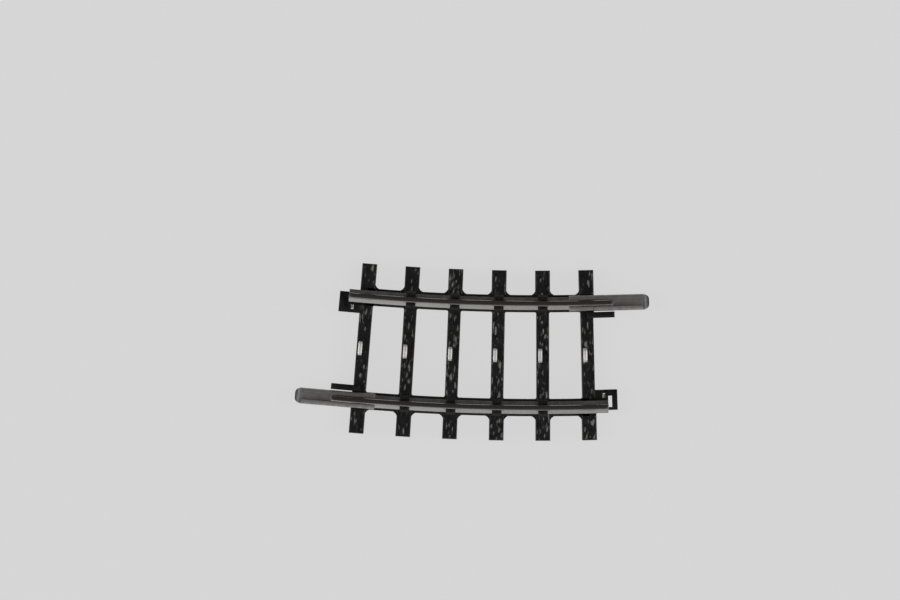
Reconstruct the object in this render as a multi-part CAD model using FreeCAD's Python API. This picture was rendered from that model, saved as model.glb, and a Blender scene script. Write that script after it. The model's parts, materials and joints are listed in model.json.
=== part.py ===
import FreeCAD, Part
import math
import os

# A short curved piece of three-rail model railway track, in millimetres.
# +Z is up, +X runs along the chord to the right-hand end, and +Y points to the centre
# of the curve, so the inner rail is the one at +Y.  The origin is on the plane that the
# sleepers stand on, midway along the piece and midway between the rails.

# Layout of the curve
curve_radius = 360.0
section_angle = 7.5
gauge = 16.5
sleeper_count = 6
end_margin_in_pitches = 0.625

# Rail
rail_height = 2.5
head_width = 0.9
head_depth = 0.75
head_corner = 0.15
web_width = 0.5
foot_width = 2.1
foot_edge_thickness = 0.3
foot_root_thickness = 0.5
joiner_end_setback = 0.25
plain_end_setback = 1.6

# Sleepers and the strips that tie them together under the rails
sleeper_length = 28.5
sleeper_width = 2.45
sleeper_middle_width = 2.15
sleeper_height = 2.6
sleeper_corner = 0.15
side_wall = 0.28
end_wall = 0.6
top_thickness = 0.9
strip_width = 2.9
strip_thickness = 1.4
gusset_size = 0.8

# Chairs that hold the rail foot down
chair_length = 1.6
chair_cover = 0.55
chair_outer_margin = 0.5
chair_rise = 0.3
chair_clearance = 0.02

# Rail joiner, folded from sheet round the rail foot
joiner_length = 13.4
joiner_overlap = 7.3
joiner_sheet = 0.2
joiner_side_clearance = 0.08
joiner_floor_clearance = 0.05
joiner_lip_reach = 0.75
joiner_corner = 0.6
joiner_curl_length = 0.8
joiner_curl_drop = 0.15
joiner_push_in = 2.5
relief_clearance = 0.1
relief_side_clearance = 0.17

# Tab beside each joiner
tab_width = 1.0
tab_height = 0.95

# Socket block in front of each plain rail end
block_gauge_reach = 2.85
block_field_reach = 0.6
block_bar = 0.9
slot_length = 0.65
slot_field_reach = 0.1
slot_gauge_reach = 1.8
pocket_depth = 0.2
clip_slot_start = 2.05
clip_slot_length = 0.4
clip_bridge = 0.3

# Live strip with its studs, and the two contact clips
strip_sheet = 0.25
bus_width = 1.0
finger_width = 0.62
stud_span = 2.35
stud_rise = 1.1
stud_bend = 0.4
finger_side_clearance = 0.035
slot_clearance = 0.03
stake_radius = 0.16
stake_hole_radius = 0.2
stake_head_radius = 0.3
stake_head_height = 0.2
tongue_width = 0.8
tongue_reach = 0.5
passage_clearance = 0.1
clip_ear_rise = 0.15
clip_ear_length = 0.55

# Derived values
up = FreeCAD.Vector(0, 0, 1)
curve_centre = FreeCAD.Vector(0, curve_radius, 0)
half_angle = section_angle / 2
pitch_angle = section_angle / (sleeper_count - 1 + 2 * end_margin_in_pitches)
rail_offset = gauge / 2 + head_width / 2
rail_base = sleeper_height
rail_top = rail_base + rail_height
ceiling = sleeper_height - top_thickness
bus_bottom = ceiling - strip_sheet
hollow_half_width = sleeper_middle_width / 2 - side_wall
stud_offset = hollow_half_width - finger_side_clearance - finger_width / 2
joiner_floor = rail_base - joiner_floor_clearance - joiner_sheet
joiner_half_width = foot_width / 2 + joiner_side_clearance + joiner_sheet
relief_top = joiner_floor - joiner_curl_drop - relief_clearance
relief_half_width = joiner_half_width + relief_side_clearance
tab_bottom = relief_top + joiner_curl_drop + relief_clearance
stud_top = sleeper_height + stud_rise
INNER = 1
OUTER = -1
RIGHT = 1
LEFT = -1


def rail_radius(rail):
    """Radius of a rail's centreline; rail is INNER or OUTER."""
    return curve_radius - rail * rail_offset


def sweep(points, start_angle, end_angle):
    """Turn an outline of (radius, height) points about the curve's centre."""
    corners = [FreeCAD.Vector(radius, 0, height) for radius, height in points]
    face = Part.Face(Part.makePolygon(corners + corners[:1]))
    low = min(start_angle, end_angle)
    solid = face.revolve(FreeCAD.Vector(0, 0, 0), up, abs(end_angle - start_angle))
    solid.rotate(FreeCAD.Vector(0, 0, 0), up, low - 90)
    solid.translate(curve_centre)
    return solid


def angle_at(rail, end, distance):
    """Angle of a point this far along a rail, measured inward from an end face."""
    return end * (half_angle - math.degrees(distance / rail_radius(rail)))


def rail_length(rail):
    """Length along a rail from one end face to the other."""
    return math.radians(section_angle) * rail_radius(rail)


def margin(rail):
    """Distance along a rail from an end face to the middle of the end sleeper."""
    return math.radians(end_margin_in_pitches * pitch_angle) * rail_radius(rail)


def rail_bar(rail, end, across, heights, along):
    """Bar beside a rail end: across from field (-) to gauge (+), along from the end."""
    radii = [rail_radius(rail) + rail * offset for offset in across]
    outline = [
        (min(radii), heights[0]),
        (max(radii), heights[0]),
        (max(radii), heights[1]),
        (min(radii), heights[1]),
    ]
    return sweep(outline, angle_at(rail, end, along[0]), angle_at(rail, end, along[1]))


def at_angle(solid, angle):
    """Carry a solid made at the middle of the piece round the curve."""
    solid.rotate(curve_centre, up, angle)
    return solid


def box(x_range, y_range, z_range):
    """Box between the two limits on each axis."""
    size = [limits[1] - limits[0] for limits in (x_range, y_range, z_range)]
    return Part.makeBox(*size, FreeCAD.Vector(x_range[0], y_range[0], z_range[0]))


def prism_along_x(points, x_range):
    """Outline of (y, z) points carried along X."""
    corners = [FreeCAD.Vector(x_range[0], y, z) for y, z in points]
    face = Part.Face(Part.makePolygon(corners + corners[:1]))
    return face.extrude(FreeCAD.Vector(x_range[1] - x_range[0], 0, 0))


def sleeper_angles():
    """Angle of each sleeper, left to right."""
    first = -pitch_angle * (sleeper_count - 1) / 2
    return [first + pitch_angle * index for index in range(sleeper_count)]


def foot_top(offset):
    """Height of the rail foot's sloping top at an offset from the rail's middle."""
    run = foot_width / 2 - web_width / 2
    share = (foot_width / 2 - abs(offset)) / run
    rise = foot_root_thickness - foot_edge_thickness
    return rail_base + foot_edge_thickness + rise * share


def rail_outline(rail):
    """Flat-bottomed rail section with a flat head and a sloping foot."""
    half = [
        (foot_width / 2, rail_base),
        (foot_width / 2, foot_top(foot_width / 2)),
        (web_width / 2, foot_top(web_width / 2)),
        (web_width / 2, rail_top - head_depth),
        (head_width / 2, rail_top - head_depth + head_corner),
        (head_width / 2, rail_top - head_corner),
        (head_width / 2 - head_corner, rail_top),
    ]
    other_half = [(-offset, height) for offset, height in reversed(half)]
    return [(rail_radius(rail) + offset, height) for offset, height in half + other_half]


def rail(which, joiner_end):
    """One rail, set back more at its plain end than at the end with the joiner."""
    start = angle_at(which, joiner_end, joiner_end_setback)
    finish = angle_at(which, -joiner_end, plain_end_setback)
    return sweep(rail_outline(which), start, finish)


def joiner_middle_angle(which, joiner_end):
    """Angle halfway along the length of rail that the joiner covers."""
    return angle_at(which, joiner_end, joiner_end_setback + joiner_overlap / 2)


def joiner_outline():
    """Half section of the folded channel: floor, side and lip over the foot."""
    inside = joiner_half_width - joiner_sheet
    lip_edge = joiner_half_width - joiner_lip_reach
    lip_under_edge = foot_top(lip_edge) + joiner_floor_clearance
    lip_under_side = foot_top(inside) + joiner_floor_clearance
    return [
        (0, joiner_floor),
        (joiner_half_width, joiner_floor),
        (joiner_half_width, lip_under_side + joiner_sheet),
        (lip_edge, lip_under_edge + joiner_sheet),
        (lip_edge, lip_under_edge),
        (inside, lip_under_side),
        (inside, joiner_floor + joiner_sheet),
        (0, joiner_floor + joiner_sheet),
    ]


def joiner_curl(start):
    """Tip of the floor, bent down so that it rides onto the next rail."""
    run = joiner_curl_length
    points = [
        (start - joiner_sheet, joiner_floor),
        (start + run / 2, joiner_floor - joiner_curl_drop / 3),
        (start + run, joiner_floor - joiner_curl_drop),
        (start + run, joiner_floor - joiner_curl_drop + joiner_sheet),
        (start + run / 2, joiner_floor - joiner_curl_drop / 3 + joiner_sheet),
        (start - joiner_sheet, joiner_floor + joiner_sheet),
    ]
    corners = [FreeCAD.Vector(x, -joiner_half_width, z) for x, z in points]
    face = Part.Face(Part.makePolygon(corners + corners[:1]))
    return face.extrude(FreeCAD.Vector(0, 2 * joiner_half_width, 0))


def joiner(which, joiner_end):
    """Rail joiner, half pushed onto the rail and half standing out for the next rail."""
    inner_end = -joiner_overlap / 2
    curl_start = inner_end + joiner_length - joiner_curl_length
    outline = joiner_outline()
    channel = prism_along_x(outline, (inner_end, curl_start))
    mirrored = [(-y, z) for y, z in outline]
    channel = channel.fuse(prism_along_x(mirrored, (inner_end, curl_start)))
    channel = channel.fuse(joiner_curl(curl_start)).removeSplitter()
    trim = box(
        (inner_end, inner_end + joiner_length),
        (-joiner_half_width, joiner_half_width),
        (0, rail_top),
    )
    uprights = [edge for edge in trim.Edges if edge.BoundBox.ZLength > rail_top / 2]
    trim = trim.makeFillet(joiner_corner, uprights)
    solid = channel.common(trim)
    if joiner_end == LEFT:
        solid.rotate(FreeCAD.Vector(0, 0, 0), up, 180)
    solid.translate(FreeCAD.Vector(0, which * rail_offset, 0))
    return at_angle(solid, joiner_middle_angle(which, joiner_end))


def broken_box(width, y_range):
    """Block of a sleeper's height with its top edges broken."""
    solid = box((-width / 2, width / 2), y_range, (0, sleeper_height))
    top_edges = [edge for edge in solid.Edges if edge.BoundBox.ZMin > sleeper_height / 2]
    return solid.makeChamfer(sleeper_corner, top_edges)


def sleeper_body():
    """Outside of one sleeper: wide at the ends, narrower between the rails."""
    half_length = sleeper_length / 2
    waist = rail_offset - strip_width / 2
    pieces = [broken_box(sleeper_middle_width, (-half_length, half_length))]
    for side in (1, -1):
        limits = sorted((side * waist, side * half_length))
        pieces.append(broken_box(sleeper_width, limits))
    return pieces[0].multiFuse(pieces[1:])


def sleeper_hollow():
    """Space inside a sleeper, open underneath."""
    half_length = sleeper_length / 2 - end_wall
    x_range = (-hollow_half_width, hollow_half_width)
    return box(x_range, (-half_length, half_length), (0, ceiling))


def stud_slot():
    """Slot in a sleeper's top that its stud stands in."""
    half_width = finger_width / 2 + slot_clearance
    half_span = stud_span / 2 + slot_clearance
    x_range = (-stud_offset - half_width, -stud_offset + half_width)
    return box(x_range, (-half_span, half_span), (0, sleeper_height + stud_rise))


def stake_place():
    """Where the stake goes through the finger, halfway from the stud to the inner rail."""
    return FreeCAD.Vector(-stud_offset, (stud_span / 2 + rail_offset) / 2, 0)


def stake():
    """Plastic stake through a finger, its end spread into a small head."""
    place = stake_place()
    head_bottom = bus_bottom - stake_head_height
    shank = Part.makeCylinder(stake_radius, ceiling - bus_bottom + top_thickness / 2)
    shank.translate(place + up * bus_bottom)
    head = Part.makeCylinder(stake_head_radius, stake_head_height)
    head.translate(place + up * head_bottom)
    return shank.fuse(head)


def chair_lug():
    """Section of the lug on one side of a chair, hooked over the rail foot."""
    outer = foot_width / 2 + chair_outer_margin
    foot_side = foot_width / 2 + chair_clearance
    inner = foot_width / 2 - chair_cover
    top = foot_top(inner) + chair_rise
    return [
        (foot_side, sleeper_height - sleeper_corner),
        (outer, sleeper_height - sleeper_corner),
        (outer, foot_top(foot_width / 2)),
        (foot_side, top),
        (inner, top),
        (inner, foot_top(inner) + chair_clearance),
        (foot_side, foot_top(foot_width / 2) + chair_clearance),
    ]


def chairs():
    """The two lugs of a chair on each rail of one sleeper."""
    lugs = []
    for which in (INNER, OUTER):
        for side in (1, -1):
            points = [(which * rail_offset + side * y, z) for y, z in chair_lug()]
            lugs.append(prism_along_x(points, (-chair_length / 2, chair_length / 2)))
    return lugs


def gusset(which, side):
    """Small web in the corner between a sleeper and the field side of a strip."""
    corner_x = side * (sleeper_width / 2 - side_wall / 2)
    corner_y = which * (rail_offset + strip_width / 2 - gusset_size / 4)
    far_x = side * (sleeper_width / 2 + gusset_size)
    far_y = which * (rail_offset + strip_width / 2 + gusset_size)
    bottom = sleeper_height - strip_thickness
    points = [
        FreeCAD.Vector(corner_x, corner_y, bottom),
        FreeCAD.Vector(far_x, corner_y, bottom),
        FreeCAD.Vector(corner_x, far_y, bottom),
    ]
    face = Part.Face(Part.makePolygon(points + points[:1]))
    return face.extrude(up * (strip_thickness - sleeper_corner))


def sleeper_parts(index, angle):
    """Everything that stands up or out from one sleeper."""
    parts = [sleeper_body()]
    is_end = index in (0, sleeper_count - 1)
    if not is_end:
        parts += chairs()
    for which in (INNER, OUTER):
        if index > 0:
            parts.append(gusset(which, -1))
        if index < sleeper_count - 1:
            parts.append(gusset(which, 1))
    return [at_angle(part, angle) for part in parts]


def strip(which):
    """Strip under one rail, from the first sleeper to the last."""
    across = (-strip_width / 2, strip_width / 2)
    heights = (sleeper_height - strip_thickness, sleeper_height)
    along = (margin(which), rail_length(which) - margin(which))
    return rail_bar(which, RIGHT, across, heights, along)


def tab(which, end):
    """Bar beside a joiner, reaching from the end sleeper to the end face."""
    across = (relief_half_width, relief_half_width + tab_width)
    heights = (tab_bottom, tab_bottom + tab_height)
    return rail_bar(which, end, across, heights, (0, margin(which)))


def socket_block(which, end):
    """Low block in front of a plain rail end."""
    bottom = sleeper_height - strip_thickness
    reach = margin(which) - sleeper_width / 2 + side_wall / 2
    across = (-block_field_reach, block_gauge_reach)
    block = rail_bar(which, end, across, (bottom, relief_top), (0, reach))
    shoulder_start = clip_slot_start + clip_slot_length
    shoulder = rail_bar(
        which,
        end,
        (relief_half_width, block_gauge_reach),
        (bottom, sleeper_height),
        (shoulder_start, reach),
    )
    return block.fuse(shoulder)


def socket_cuts(which, end):
    """Slot of a socket block, shallow on the left one, and the open and bridged clip slot."""
    slot_bottom = relief_top - pocket_depth if end == LEFT else 0
    slot = rail_bar(
        which,
        end,
        (-slot_field_reach, slot_gauge_reach),
        (slot_bottom, rail_base),
        (block_bar, block_bar + slot_length),
    )
    clip_along = (clip_slot_start, clip_slot_start + clip_slot_length)
    open_part = rail_bar(
        which,
        end,
        (relief_half_width, relief_half_width + clip_ear_length + 2 * passage_clearance),
        (0, rail_base),
        clip_along,
    )
    bridged_part = rail_bar(
        which,
        end,
        (-tongue_width / 2 - passage_clearance, relief_half_width),
        (0, relief_top - clip_bridge),
        clip_along,
    )
    return [slot, open_part, bridged_part]


def passage(which, end, top):
    """Way for a tongue or a clip's tail through an end sleeper's outer wall."""
    half_width = tongue_width / 2 + passage_clearance
    bottom = bus_bottom - strip_sheet - passage_clearance
    inside = margin(which) - hollow_half_width + passage_clearance
    return rail_bar(which, end, (-half_width, half_width), (bottom, top), (-1, inside))


def joiner_relief(which, end, length):
    """Room under and beside the rail foot for a joiner."""
    across = (-relief_half_width, relief_half_width)
    return rail_bar(which, end, across, (relief_top, rail_top), (-1, length))


def bus_groove():
    """Groove along the underside of the inner strip for the live strip."""
    half_width = bus_width / 2 + passage_clearance
    bottom = sleeper_height - strip_thickness
    radius = rail_radius(INNER)
    outline = [
        (radius - half_width, bottom),
        (radius + half_width, bottom),
        (radius + half_width, ceiling),
        (radius - half_width, ceiling),
    ]
    ends = sleeper_angles()
    return sweep(outline, ends[0], ends[-1])


def sleeper_grid():
    """The one-piece moulding: sleepers, strips, chairs, tabs and socket blocks."""
    solids = [strip(INNER), strip(OUTER)]
    for index, angle in enumerate(sleeper_angles()):
        solids += sleeper_parts(index, angle)
    solids += [tab(INNER, RIGHT), tab(OUTER, LEFT)]
    solids += [socket_block(INNER, LEFT), socket_block(OUTER, RIGHT)]
    grid = solids[0].multiFuse(solids[1:])
    joiner_room = joiner_end_setback + joiner_overlap + joiner_push_in + relief_clearance
    plain_room = margin(OUTER) + sleeper_width
    cuts = [
        bus_groove(),
        joiner_relief(INNER, RIGHT, joiner_room),
        joiner_relief(OUTER, LEFT, joiner_room),
        joiner_relief(INNER, LEFT, plain_room),
        joiner_relief(OUTER, RIGHT, plain_room),
        passage(INNER, RIGHT, ceiling),
        passage(OUTER, LEFT, ceiling),
        passage(INNER, LEFT, ceiling),
        passage(OUTER, RIGHT, ceiling),
    ]
    cuts += socket_cuts(INNER, LEFT) + socket_cuts(OUTER, RIGHT)
    for angle in sleeper_angles():
        cuts.append(at_angle(sleeper_hollow(), angle))
        cuts.append(at_angle(stud_slot(), angle))
    grid = grid.cut(cuts)
    stakes = [at_angle(stake(), angle) for angle in sleeper_angles()]
    return grid.multiFuse(stakes).removeSplitter()


def bend(centre_y, centre_z, radius, start, finish):
    """Quarter bend in the YZ plane between two directions given in degrees."""
    middle = (start + finish) / 2
    points = []
    for direction in (start, middle, finish):
        y = centre_y + radius * math.cos(math.radians(direction))
        z = centre_z + radius * math.sin(math.radians(direction))
        points.append(FreeCAD.Vector(0, y, z))
    return Part.Arc(*points).toShape()


def line(start, finish):
    """Straight edge in the YZ plane."""
    return Part.makeLine(FreeCAD.Vector(0, *start), FreeCAD.Vector(0, *finish))


def stud():
    """Bridge-shaped stud, bent from the finger, that the pickup slides over."""
    half = stud_span / 2
    inside = half - strip_sheet
    centre_y = half - stud_bend
    centre_z = stud_top - stud_bend
    inner_bend = stud_bend - strip_sheet
    edges = [
        line((half, bus_bottom), (half, centre_z)),
        bend(centre_y, centre_z, stud_bend, 0, 90),
        line((centre_y, stud_top), (-centre_y, stud_top)),
        bend(-centre_y, centre_z, stud_bend, 90, 180),
        line((-half, centre_z), (-half, bus_bottom)),
        line((-half, bus_bottom), (-inside, bus_bottom)),
        line((-inside, bus_bottom), (-inside, centre_z)),
        bend(-centre_y, centre_z, inner_bend, 180, 90),
        line((-centre_y, stud_top - strip_sheet), (centre_y, stud_top - strip_sheet)),
        bend(centre_y, centre_z, inner_bend, 90, 0),
        line((inside, centre_z), (inside, bus_bottom)),
        line((inside, bus_bottom), (half, bus_bottom)),
    ]
    solid = Part.Face(Part.Wire(edges)).extrude(FreeCAD.Vector(finger_width, 0, 0))
    solid.translate(FreeCAD.Vector(-stud_offset - finger_width / 2, 0, 0))
    return solid


def finger(y_range):
    """Flat finger of the live strip lying in one sleeper."""
    x_range = (-stud_offset - finger_width / 2, -stud_offset + finger_width / 2)
    return box(x_range, y_range, (bus_bottom, ceiling))


def stake_hole():
    """Hole in a finger for its stake."""
    hole = Part.makeCylinder(stake_hole_radius, sleeper_height)
    hole.translate(stake_place())
    return hole


def bus():
    """Part of the live strip that runs under the inner rail and joins the fingers."""
    start = margin(INNER) - finger_width
    across = (-bus_width / 2, bus_width / 2)
    along = (start, rail_length(INNER) - start)
    return rail_bar(INNER, RIGHT, across, (bus_bottom, ceiling), along)


def tongue(which, end):
    """End of the live strip under a joiner, which meets the next piece's clip."""
    across = (-tongue_width / 2, tongue_width / 2)
    along = (-tongue_reach, margin(which))
    return rail_bar(which, end, across, (bus_bottom, ceiling), along)


def stud_contact_strip():
    """The live strip: bus, fingers, studs and end tongues, stamped in one piece."""
    solids = [bus(), tongue(INNER, RIGHT), tongue(OUTER, LEFT)]
    leg = stud_span / 2 - strip_sheet
    for index, angle in enumerate(sleeper_angles()):
        solids.append(at_angle(stud(), angle))
        solids.append(at_angle(finger((leg, rail_offset)), angle))
        if index in (0, sleeper_count - 1):
            reach = rail_offset + tongue_width / 2
            solids.append(at_angle(finger((-reach, -leg)), angle))
    strip_solid = solids[0].multiFuse(solids[1:])
    holes = [at_angle(stake_hole(), angle) for angle in sleeper_angles()]
    return strip_solid.cut(holes).removeSplitter()


def contact_clip(which, end):
    """Clip in a socket block: tail under the live strip, blade, and an ear that shows."""
    tail_bottom = bus_bottom - strip_sheet
    blade_start = clip_slot_start + passage_clearance / 2
    blade = (blade_start, blade_start + strip_sheet)
    half_width = tongue_width / 2
    ear_start = relief_half_width + passage_clearance
    ear_end = ear_start + clip_ear_length
    tail = rail_bar(
        which,
        end,
        (-half_width, half_width),
        (tail_bottom, bus_bottom),
        (blade_start, margin(which) + stud_offset),
    )
    upright = rail_bar(
        which,
        end,
        (-half_width, ear_end),
        (tail_bottom, relief_top - clip_bridge - passage_clearance),
        blade,
    )
    ear = rail_bar(
        which,
        end,
        (ear_start, ear_end),
        (tail_bottom, sleeper_height + clip_ear_rise),
        blade,
    )
    return tail.multiFuse([upright, ear]).removeSplitter()


def write(name, shape):
    """Write one named solid as a STEP file."""
    if not shape.isValid() or len(shape.Solids) != 1:
        raise ValueError(name + " did not come out as one sound solid")
    shape.Solids[0].exportStep("parts/" + name + ".step")


os.makedirs("parts", exist_ok=True)
write("sleeper_grid", sleeper_grid())
write("inner_rail", rail(INNER, RIGHT))
write("outer_rail", rail(OUTER, LEFT))
write("inner_rail_joiner", joiner(INNER, RIGHT))
write("outer_rail_joiner", joiner(OUTER, LEFT))
write("stud_contact_strip", stud_contact_strip())
write("inner_rail_contact_clip", contact_clip(INNER, LEFT))
write("outer_rail_contact_clip", contact_clip(OUTER, RIGHT))
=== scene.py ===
"""Looks of a short curved model track section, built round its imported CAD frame."""

import json
import math

import bmesh
import bpy
from bpy.props import FloatProperty, FloatVectorProperty, IntProperty, PointerProperty
from mathutils import Matrix, Vector


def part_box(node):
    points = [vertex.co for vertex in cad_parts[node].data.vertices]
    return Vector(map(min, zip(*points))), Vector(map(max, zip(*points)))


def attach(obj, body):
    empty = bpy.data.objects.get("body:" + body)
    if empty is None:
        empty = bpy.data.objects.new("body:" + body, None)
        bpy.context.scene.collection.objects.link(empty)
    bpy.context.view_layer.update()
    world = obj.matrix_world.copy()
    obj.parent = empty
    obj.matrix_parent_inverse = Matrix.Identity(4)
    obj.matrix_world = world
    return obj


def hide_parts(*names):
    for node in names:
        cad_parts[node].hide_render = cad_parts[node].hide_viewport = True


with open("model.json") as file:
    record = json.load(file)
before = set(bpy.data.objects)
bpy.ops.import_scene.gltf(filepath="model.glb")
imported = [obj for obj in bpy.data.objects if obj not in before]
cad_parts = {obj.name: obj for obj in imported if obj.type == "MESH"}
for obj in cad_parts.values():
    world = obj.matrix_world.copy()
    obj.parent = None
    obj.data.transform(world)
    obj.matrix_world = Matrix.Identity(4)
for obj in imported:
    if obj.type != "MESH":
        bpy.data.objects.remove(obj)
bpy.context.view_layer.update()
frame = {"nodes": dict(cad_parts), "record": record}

bl_info = {
    "name": "Curved Track Section",
    "version": (1, 0, 0),
    "blender": (4, 5, 0),
    "location": "View3D > Sidebar > Track",
    "description": "Builds a short curved model track section piece by piece",
    "category": "Object",
}

MM = 0.001
NEAR = 0.001 * MM  # two places closer than this are one
SHARP_FROM = math.radians(35)  # faces that meet at more than this show an edge
INNER, OUTER = 1, -1  # the two rails; the inner one is nearer the centre of the curve
RIGHT, LEFT = 1, -1  # the two ends
TRACK_BODY = "track"
JOINER_ENDS = ((INNER, RIGHT), (OUTER, LEFT))
PLAIN_ENDS = ((INNER, LEFT), (OUTER, RIGHT))


# Places that the frame gives

def mount_place(name):
    """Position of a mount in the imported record, in metres."""
    for mount in frame["record"]["mounts"]:
        if mount["name"] == name:
            return Vector(mount["pos_m"])
    raise ValueError("the record has no mount named " + name)


RAIL_TOP = mount_place("outer_running_surface").z
RAIL_OFFSET = abs(mount_place("outer_running_surface").y)
RAIL_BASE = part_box("outer_rail")[0].z
STUD_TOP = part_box("stud_contact_strip")[1].z
LIVE_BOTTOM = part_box("stud_contact_strip")[0].z
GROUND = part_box("sleeper_grid")[0].z


# Sizes and finishes that a user would change

def length_setting(name, description, millimetres):
    """A length shown in the sidebar."""
    return FloatProperty(
        name=name,
        description=description,
        default=millimetres * MM,
        unit="LENGTH",
        precision=5,
    )


def colour_setting(name, description, hex_value):
    """A colour shown in the sidebar."""
    return FloatVectorProperty(
        name=name,
        description=description,
        default=linear(hex_value),
        subtype="COLOR",
        size=4,
        min=0.0,
        max=1.0,
    )


def linear(hex_value):
    """Linear colour of an sRGB hex value."""
    channels = [int(hex_value[i:i + 2], 16) / 255 for i in (1, 3, 5)]
    return tuple(
        c / 12.92 if c <= 0.04045 else ((c + 0.055) / 1.055) ** 2.4 for c in channels
    ) + (1.0,)


class TrackSizes(bpy.types.PropertyGroup):
    """Sizes of the track section."""

    curve_radius: length_setting("Curve radius", "Centreline radius of the curve", 360.0)
    section_angle: FloatProperty(
        name="Section angle",
        description="Angle between the two end faces",
        default=math.radians(7.5),
        subtype="ANGLE",
    )
    sleeper_pitch: FloatProperty(
        name="Sleeper pitch",
        description="Angle from one sleeper to the next",
        default=math.radians(1.2),
        subtype="ANGLE",
    )
    sleeper_count: IntProperty(
        name="Sleepers", description="Number of sleepers", default=6, min=2
    )
    sleeper_length: length_setting("Sleeper length", "Length of a sleeper", 28.5)
    sleeper_width: length_setting("Sleeper width", "Width outside the rails", 2.45)
    sleeper_waist: length_setting("Sleeper waist", "Width between the rails", 2.15)
    sleeper_height: length_setting("Sleeper height", "Height of a sleeper", 2.6)
    strip_width: length_setting("Strip width", "Width of the strip under a rail", 2.9)
    strip_depth: length_setting("Strip depth", "Depth of the strip under a rail", 1.4)
    foot_width: length_setting("Rail foot", "Width of the rail foot", 2.1)
    head_width: length_setting("Rail head", "Width of the rail head", 0.9)
    joiner_length: length_setting("Joiner length", "Length of a rail joiner", 13.4)
    joiner_overlap: length_setting("Joiner overlap", "Length that grips the rail", 7.3)
    grain_height: length_setting("Grain height", "Height of the embossed wood grain", 0.11)


class TrackFinish(bpy.types.PropertyGroup):
    """Colours of the track section."""

    plastic: colour_setting("Plastic", "Black moulded sleepers", "#0B0B0B")
    # the grain ridges' colour is a painted highlight, standing in for glints on the grain
    painted_ridge_highlight: colour_setting("Grain ridges", "Painted highlight on the grain tops", "#85847F")
    rail: colour_setting("Rail", "Rail foot and web", "#B4B2AE")
    rail_head: colour_setting("Rail head", "Top that the wheels polish", "#A3A19D")
    joiner: colour_setting("Joiner", "Rolled sheet of the joiners", "#B0AFAC")
    stud: colour_setting("Stud", "Spring sheet of the studs", "#FBF9F4")
    floor: colour_setting("Floor", "Glow of the opal table under the track", "#D9D9D9")


# Shaping by hand tools

def drop_all():
    """Back to object mode with nothing selected."""
    if bpy.context.mode != "OBJECT":
        bpy.ops.object.mode_set(mode="OBJECT")
    bpy.ops.object.select_all(action="DESELECT")


def take(piece):
    """Select one piece and make it active."""
    drop_all()
    piece.select_set(True)
    bpy.context.view_layer.objects.active = piece


def edit(piece, kind="FACE"):
    """Open a piece for editing with everything selected."""
    take(piece)
    bpy.ops.object.mode_set(mode="EDIT")
    bpy.ops.mesh.select_mode(type=kind)
    bpy.ops.mesh.select_all(action="SELECT")


def choose(piece, kind, wanted):
    """Select the faces, edges or corners whose middle passes a test."""
    bpy.ops.mesh.select_mode(type=kind)
    bpy.ops.mesh.select_all(action="DESELECT")
    shape = bmesh.from_edit_mesh(piece.data)
    shape.normal_update()
    parts = {"FACE": shape.faces, "EDGE": shape.edges, "VERT": shape.verts}[kind]
    chosen = 0
    for part in parts:
        if kind == "VERT":
            middle = part.co
        else:
            corners = [corner.co for corner in part.verts]
            middle = sum(corners, Vector()) / len(corners)
        if wanted(part, middle):
            part.select_set(True)
            chosen += 1
    shape.select_flush_mode()
    bmesh.update_edit_mesh(piece.data)
    if not chosen:
        raise ValueError("nothing to shape on " + piece.name)


def push(by):
    """Extrude what is selected and move it."""
    bpy.ops.mesh.extrude_region_move(TRANSFORM_OT_translate={"value": tuple(by)})


def fold(by):
    """Extrude the selected edges and move them, as sheet is folded."""
    bpy.ops.mesh.extrude_edges_move(TRANSFORM_OT_translate={"value": tuple(by)})


def shift(piece, kind, wanted, by):
    """Move the faces, edges or corners that pass a test."""
    choose(piece, kind, wanted)
    bpy.ops.transform.translate(value=tuple(by))


def slice_at(place, normal):
    """Cut new edges all round the piece where a plane crosses it."""
    bpy.ops.mesh.select_all(action="SELECT")
    bpy.ops.mesh.bisect(plane_co=place, plane_no=normal)


def apply_modifier(piece, kind, **settings):
    """Put a modifier on a piece and apply it at once."""
    take(piece)
    modifier = piece.modifiers.new(kind.title(), kind)
    for setting, value in settings.items():
        setattr(modifier, setting, value)
    bpy.ops.object.modifier_apply(modifier=modifier.name)


def settle(piece):
    """Put a piece's place, turn and scale into its mesh."""
    take(piece)
    bpy.ops.object.transform_apply(location=True, rotation=True, scale=True)


def block(name, x_range, y_range, z_range):
    """Box between two limits on each axis, as the start of a piece."""
    limits = (x_range, y_range, z_range)
    drop_all()
    bpy.ops.mesh.primitive_cube_add(
        size=1, location=[(low + high) / 2 for low, high in limits]
    )
    piece = bpy.context.object
    piece.scale = [high - low for low, high in limits]
    piece.name = piece.data.name = name
    settle(piece)
    return piece


def flat_plate(name, x_range, y_range, height):
    """Level rectangle, the start of a piece folded from sheet."""
    drop_all()
    middle = [(low + high) / 2 for low, high in (x_range, y_range)]
    bpy.ops.mesh.primitive_plane_add(size=1, location=(*middle, height))
    piece = bpy.context.object
    piece.scale = (x_range[1] - x_range[0], y_range[1] - y_range[0], 1)
    piece.name = piece.data.name = name
    settle(piece)
    return piece


def turn(piece, angle):
    """Carry a piece round the centre of the curve."""
    centre = Vector((0, sizes().curve_radius, 0))
    there, back = Matrix.Translation(centre), Matrix.Translation(-centre)
    piece.matrix_world = there @ Matrix.Rotation(angle, 4, "Z") @ back
    settle(piece)
    return piece


def twin(piece, name):
    """Copy of a piece with a mesh of its own."""
    copy = piece.copy()
    copy.data = piece.data.copy()
    copy.name = copy.data.name = name
    bpy.context.collection.objects.link(copy)
    return copy


def join(pieces, name):
    """Several pieces made into one."""
    drop_all()
    for piece in pieces:
        piece.select_set(True)
    bpy.context.view_layer.objects.active = pieces[0]
    bpy.ops.object.join()
    pieces[0].name = pieces[0].data.name = name
    return pieces[0]


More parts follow.
